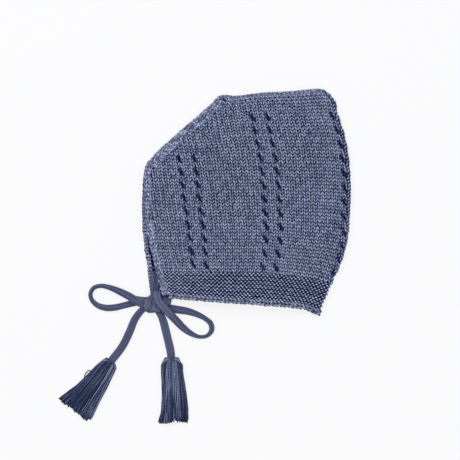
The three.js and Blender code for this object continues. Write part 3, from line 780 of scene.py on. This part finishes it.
def knit_row(place, row, first, last, cells, sides, dye_and_light, purl=False, sign=-1.0, radius=yarn_radius,
             depth=loop_depth, lean=loop_lean, reach=loop_reach, unevenness=loop_unevenness, least=0.0):
    """One row of loops as a single yarn, from wale first to wale last. The legs of a knit loop
    stand forward and its head and feet lie back, and a purl loop is the other way round. least
    is the crest below which no part of the yarn falls."""
    turn = np.linspace(0, 2 * math.pi * (last - first), cells * (last - first) + 1)
    spots = np.arange(2 * (last - first) + 3) * math.pi - math.pi / 2
    uneven = np.stack([np.interp(turn, spots, loop_draws.normal(0, 1, len(spots))) for _ in range(3)])
    wale = first + turn / (2 * math.pi) + lean * np.sin(2 * turn) + unevenness * uneven[0]
    at = row + 0.5 - reach * np.cos(turn) + unevenness * uneven[1]
    forward = depth * np.cos(2 * turn) * (1 if purl else -1) + 2 * unevenness * uneven[2]
    normal = outward(place, wale, at, sign)
    middle, gap = place(wale, at)
    line = middle + (forward - 0.8 * gap)[:, None] * normal
    ring = np.sin(2 * math.pi * np.arange(sides) / sides)
    # Painted shade: the yarn is darker the nearer it lies to the fabric's middle, between the loops, and
    # darker still in an eyelet's slit.
    painted_light = np.clip(np.abs(forward[:, None] + radius * ring) / (depth + radius), least, 1)
    painted_light = painted_light * (1 - 0.9 * gap[:, None])
    # Painted light: surfaces that face sideways are painted paler, for the light the wool's fuzz catches at
    # its edges.
    painted_side_light = 2.0 * (1 - np.abs(normal[:, 2]))
    return tube(line[None], normal[None], radius, radius, sides, painted_light[None], (dye_and_light + painted_side_light)[None])


def neck_up(spots):
    """How far up the neck side each place lies, as a share."""
    face, back = lay_y(0.0, 0.0), lay_y(0.0, 1.0)
    return np.clip((spots[:, 1] - face) / (back - face), 0, 1)


def wales_in_row(place, row, most, side, margin, nape_margin, row_edge):
    """How many whole wales of a row fit between the fold and the layer's other edge."""
    wale = (np.arange(most) + 0.5) * side
    spots = place(wale, np.full(most, row + 0.5))[0][:, :2] - lay_corner
    inside = spots[:, 0] > row_edge(neck_up(spots)) + margin
    inside &= distance_to(nape_line, spots) > nape_margin
    out = np.flatnonzero(~inside)
    return int(out[0]) if len(out) else most


# The slits fall on whole wales, so the sheet's edges lie between them. It is painted dark, as the shade
# between and behind the loops.
sheet_wales = np.concatenate([[0], np.arange(0.25, 57, 0.5)])
sheet_painted_shade = -1.2
sheet_margin = 1.0
sheet_slit_width = 3.0
sheet_slit_reach = 2.1


def sheet_grid(place, wales, rows, side, edge):
    """The closed inside of the fabric behind its loops, a sheet painted dark as shade, open where both
    layers' eyelets meet.
    """
    wale, row = np.meshgrid(wales, rows)
    flat = place(wale.ravel() * side, row.ravel())[0]
    spots = flat[:, :2] - lay_corner
    count = np.arange(len(flat)).reshape(wale.shape)
    quads = np.stack([count[:-1, :-1], count[:-1, 1:], count[1:, 1:], count[1:, :-1]], axis=-1).reshape(-1, 4)
    middle = spots[quads].mean(axis=1)
    across, along = slit_places(spots, through_eyelets)
    across, along = across[quads], np.abs(along[quads]).mean(axis=1)
    keep = (across.min(axis=1) > 0) | (across.max(axis=1) < 0)
    keep |= (np.abs(across).max(axis=1) > sheet_slit_width) | (along > sheet_slit_reach)
    keep &= middle[:, 0] > edge(neck_up(middle)) + sheet_margin
    used, quads = np.unique(quads[keep], return_inverse=True)
    quads = quads.reshape(-1, 4)[:, ::side]
    return {
        "corners": flat[used], "quads": quads, "caps": np.zeros((0, 3), int),
        "wrap": np.zeros((len(quads), 4, 2)),
        "painted_light": np.zeros(len(used)), "dye_and_light": np.full(len(used), sheet_painted_shade),
    }


tone_draws = np.random.default_rng(5)
crown_wool = wool_material("stockinette wool", (0.003, 0.008, 0.045), (0.254, 0.283, 0.395))
nape_band = 6.6
crown_most_wales = 46
crown_under_binding = 1.2
crown_split_row = 25


def crown_layer(name, side, first_row, last_row, loop, edge):
    strands = []
    margin = binding_width - crown_under_binding
    # The last row is in the seam.
    for row in range(first_row, min(last_row, crown_rows - 1)):
        wales = wales_in_row(crown_place, row, crown_most_wales, side, margin, nape_band, edge)
        ends = (0, wales) if side > 0 else (-wales, 0)
        if wales:
            strands.append(knit_row(crown_place, row, *ends, *loop, tone_draws.uniform(0.38, 0.62)))
    rows = np.arange(first_row, last_row + 0.01, 0.5)
    wales = sheet_wales[sheet_wales < crown_most_wales + 1]
    strands.append(sheet_grid(crown_place, wales, rows, side, edge))
    piece = lay_yarn(name, strands, crown_wool)
    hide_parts("crown")


crown_layer("upper_crown_face_half", 1, 0, crown_split_row, upper_loop, near_edge)
crown_layer("upper_crown_back_half", 1, crown_split_row, crown_rows, upper_loop, near_edge)
crown_layer("lower_crown", -1, 0, crown_rows, lower_loop, far_edge)

# The face band
# Eight ridges of garter stitch round the face, cast on at the edge. The heads and feet of the
# purl rows stand up in a diagonal lattice, and the knit rows between them sink in.
band_wool = wool_material("garter wool", (0.006, 0.013, 0.06), (0.37, 0.41, 0.565))
band_most_wales = 56
band_under_binding = 1.0


def band_layer(name, side, loop, edge):
    strands = []
    margin = binding_width - band_under_binding
    for row in range(1, band_ridges):
        wales = wales_in_row(band_place, row, band_most_wales, side, margin, 0.0, edge)
        ends = (0, wales) if side > 0 else (-wales, 0)
        strands.append(knit_row(
            band_place, row, *ends, *loop, tone_draws.uniform(0.3, 0.7), purl=True,
            radius=0.66, depth=0.75, lean=0.04, reach=0.25,
        ))
    rows = np.arange(0.25, band_ridges + 0.01, 0.25)
    strands.append(sheet_grid(band_place, sheet_wales, rows, side, edge))
    piece = lay_yarn(name, strands, band_wool)
    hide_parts("face_band")


band_layer("upper_face_band", 1, upper_loop, near_edge)
band_layer("lower_face_band", -1, lower_loop, far_edge)


# The linked seams
# The nape and the back are closed with a linked seam, oversewn, inside a ridge of bigger
# stitches on each layer.
lower_lift = 0.25
notch_pitch = 7.0


def layer_height(points, side):
    """How high a layer's middle lies: side is 1 for the upper layer and -1 for the lower one."""
    thickness, dome, from_seam = stand_off(points)
    return thickness / 2 + side * half_gap(thickness, from_seam) + (dome if side > 0 else 0)


def edge_place(line, side, wale_pitch, row_pitch, start, lift, slant):
    """A strip along an edge: wales count inwards from it and rows along it."""
    along = lengths_along(line)
    inward = unit(np.gradient(line, along, axis=0))
    inward = np.stack([inward[:, 1], -inward[:, 0]], axis=1)

    def place(wale, row):
        at = np.asarray(row) * row_pitch + slant * np.asarray(wale)
        spot = np.stack([np.interp(at, along, line[:, k]) for k in range(2)], axis=1)
        way = np.stack([np.interp(at, along, inward[:, k]) for k in range(2)], axis=1)
        points = spot + way * (start + np.asarray(wale) * wale_pitch)[:, None]
        z = layer_height(points, side) + lift
        return np.concatenate([points + lay_corner, z[:, None]], axis=1), np.zeros(len(points))

    return place, int(along[-1] / row_pitch)


def knit_strip(line, side, wales, wale_pitch, row_pitch, start, lift, radius, unevenness, dye_and_light=0.0,
               slant=0.0, depth=loop_depth, least=0.66):
    """Rows of loops across a strip along an edge, a few wales wide."""
    lift = lift if side > 0 else lower_lift
    place, rows = edge_place(line, side, wale_pitch, row_pitch, start, lift, slant)
    return [
        knit_row(
            place, row, 0, wales, *upper_loop, dye_and_light + tone_draws.uniform(0.4, 0.6), sign=side,
            radius=radius, unevenness=unevenness, depth=depth, least=least,
        )
        for row in range(rows)
    ]


def oversewing(line, inset, wide, high, pitch, radius, level, dye_and_light):
    """A yarn wound along an edge: level gives the height of the middle of its turns, and it is
    painted a little darker at each notch, as shade."""
    along = lengths_along(line)
    turns = int(along[-1] / pitch)
    turn = np.linspace(0, 2 * math.pi * turns, 10 * turns + 1)
    at = turn / (2 * math.pi) * pitch
    spot = np.stack([np.interp(at, along, line[:, k]) for k in range(2)], axis=1)
    way = unit(np.gradient(spot, axis=0))
    inward = np.stack([way[:, 1], -way[:, 0]], axis=1)
    points = spot + inward * (inset + wide * np.cos(turn))[:, None]
    z = level(points) + high * np.sin(turn)
    path = np.concatenate([points + lay_corner, z[:, None]], axis=1)
    ring = np.sin(2 * math.pi * np.arange(6) / 6)
    # Painted shade at each notch.
    notch_shade = np.clip(np.cos(2 * math.pi * at / notch_pitch), 0, 1) ** 4
    painted_light = (0.94 + 0.06 * ring) * (1 - 0.3 * notch_shade[:, None])
    return tube(path[None], upward, radius, radius, 6, painted_light[None], dye_and_light)


def seam_middle(points):
    return stand_off(points)[0] / 2


seam_strands = []
for seam_side in (1, -1):
    seam_strands += knit_strip(
        nape_line, seam_side, wales=3, wale_pitch=2.3, row_pitch=3.0, start=0.5, lift=0.35,
        radius=0.66, unevenness=0.12, slant=0.7,
    )
    seam_strands += knit_strip(
        back_line, seam_side, wales=1, wale_pitch=2.6, row_pitch=3.2, start=0.4, lift=0.25,
        radius=0.72, unevenness=0.06, dye_and_light=-0.3,
    )
# Painted light: the oversewing is toned paler, against the shade on its sideways faces.
seam_strands.append(oversewing(
    seam_line, inset=1.3, wide=0.9, high=1.6, pitch=3.6, radius=0.75, level=seam_middle, dye_and_light=1.5,
))
seams = lay_yarn("linked_seams", seam_strands, crown_wool)
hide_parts("crown")

# The hem
# The band is cast on at the face with a plain rolled edge, one on each layer.
hem_strands = []
for hem_edge, hem_side in ((near_edge, 1), (far_edge, -1)):
    hem_line = face_line[face_line[:, 0] > hem_edge(0.0) + 1.0][::-1]
    hem_strands += knit_strip(
        hem_line, hem_side, wales=1, wale_pitch=3.9, row_pitch=3.0, start=0.1, lift=0.25,
        radius=0.85, unevenness=0.05, dye_and_light=-1.0, depth=0.45, least=0.4,
    )
    hem_strands.append(oversewing(
        hem_line, inset=1.0, wide=0.8, high=0.8, pitch=6.0, radius=0.6,
        level=lambda points, side=hem_side: layer_height(points, side), dye_and_light=-1.3,
    ))
hem = lay_yarn("face_hem", hem_strands, band_wool)
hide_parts("face_band")

# The neck binding
# The neck edge is bound with a narrow knitted strip in the bonnet's wool on each layer. The
# near tie is sewn on behind its chin corner.
binding_wool = wool_material("binding wool", (0.003, 0.008, 0.045), (0.252, 0.28, 0.385))
binding_overlap = 0.015
ups = np.linspace(0, seam_start + binding_overlap, 40)
near_neck = np.stack([near_edge(ups), lay_y(0.0, ups)], axis=1)
far_neck = np.stack([far_edge(ups), lay_y(0.0, ups)], axis=1)
binding_strands = knit_strip(
    near_neck, 1, wales=2, wale_pitch=2.6, row_pitch=3.3, start=0.1, lift=0.1,
    radius=0.8, unevenness=0.06, depth=0.4, least=0.4,
)
# Painted light: the far layer's strip is toned paler, against the shade the upper layer casts on it.
binding_strands += knit_strip(
    far_neck, -1, wales=1, wale_pitch=3.0, row_pitch=2.5, start=0.1, lift=0.1,
    radius=0.92, unevenness=0.06, dye_and_light=0.6, depth=0.3, least=0.4,
)
# The stitches that hold the near tie show as a lighter tangle.
corner_radius = 0.42
corner_draws = np.random.default_rng(8)
for spot in corner_draws.uniform((-65.0, -66.5), (-59.5, -58.5), (7, 2)):
    turn = np.linspace(0, math.pi, 9)
    heading = corner_draws.uniform(-0.7, 0.7) + (math.pi / 2 if spot[1] > -63.5 else 0)
    way = np.array([math.cos(heading), math.sin(heading)])
    stitch = spot - np.outer(np.cos(turn), way) * 1.8
    level = layer_height(stitch - lay_corner, 1) + 0.3 + 0.9 * np.sin(turn)
    stitch = np.concatenate([stitch, level[:, None]], axis=1)
    binding_strands.append(tube(stitch[None], upward, corner_radius, corner_radius, 6, 0.82, 0.7))
binding = lay_yarn("neck_binding_strip", binding_strands, binding_wool)
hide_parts("neck_binding")

# The table and the light
# A pale table lit from beneath under a broad soft light from above, with hardly any shadow.
table_material = bpy.data.materials.new("pale table")
table_material.use_nodes = True
table_shader = table_material.node_tree.nodes["Principled BSDF"]
table_shader.inputs["Base Color"].default_value = (0.08, 0.08, 0.081, 1)
table_shader.inputs["Emission Color"].default_value = (1.0, 1.0, 1.01, 1)
table_shader.inputs["Emission Strength"].default_value = 0.79
table_shader.inputs["Roughness"].default_value = 0.8
table_mesh = bpy.data.meshes.new("table")
table_half = 3.0
table_corners = [(x * table_half, y * table_half, 0) for x, y in ((-1, -1), (1, -1), (1, 1), (-1, 1))]
table_mesh.from_pydata(table_corners, [], [(0, 1, 2, 3)])
table_mesh.materials.append(table_material)
table = bpy.data.objects.new("table", table_mesh)
bpy.context.scene.collection.objects.link(table)

for light_name, spot, size, power in (
    ("window", (-0.7, 0.8, 1.5), 1.4, 22.0),
    ("ceiling", (0.2, -0.1, 2.0), 2.4, 30.0),
):
    light_data = bpy.data.lights.new(light_name, "AREA")
    light_data.size = size
    light_data.energy = power
    light = bpy.data.objects.new(light_name, light_data)
    light.location = spot
    direction = -light.location
    light.rotation_euler = direction.to_track_quat("-Z", "Y").to_euler()
    bpy.context.scene.collection.objects.link(light)

world = bpy.data.worlds.new("room")
world.use_nodes = True
world.node_tree.nodes["Background"].inputs["Color"].default_value = (0.96, 0.97, 1.0, 1)
world.node_tree.nodes["Background"].inputs["Strength"].default_value = 0.85
bpy.context.scene.world = world
bpy.context.scene.view_settings.view_transform = "Standard"
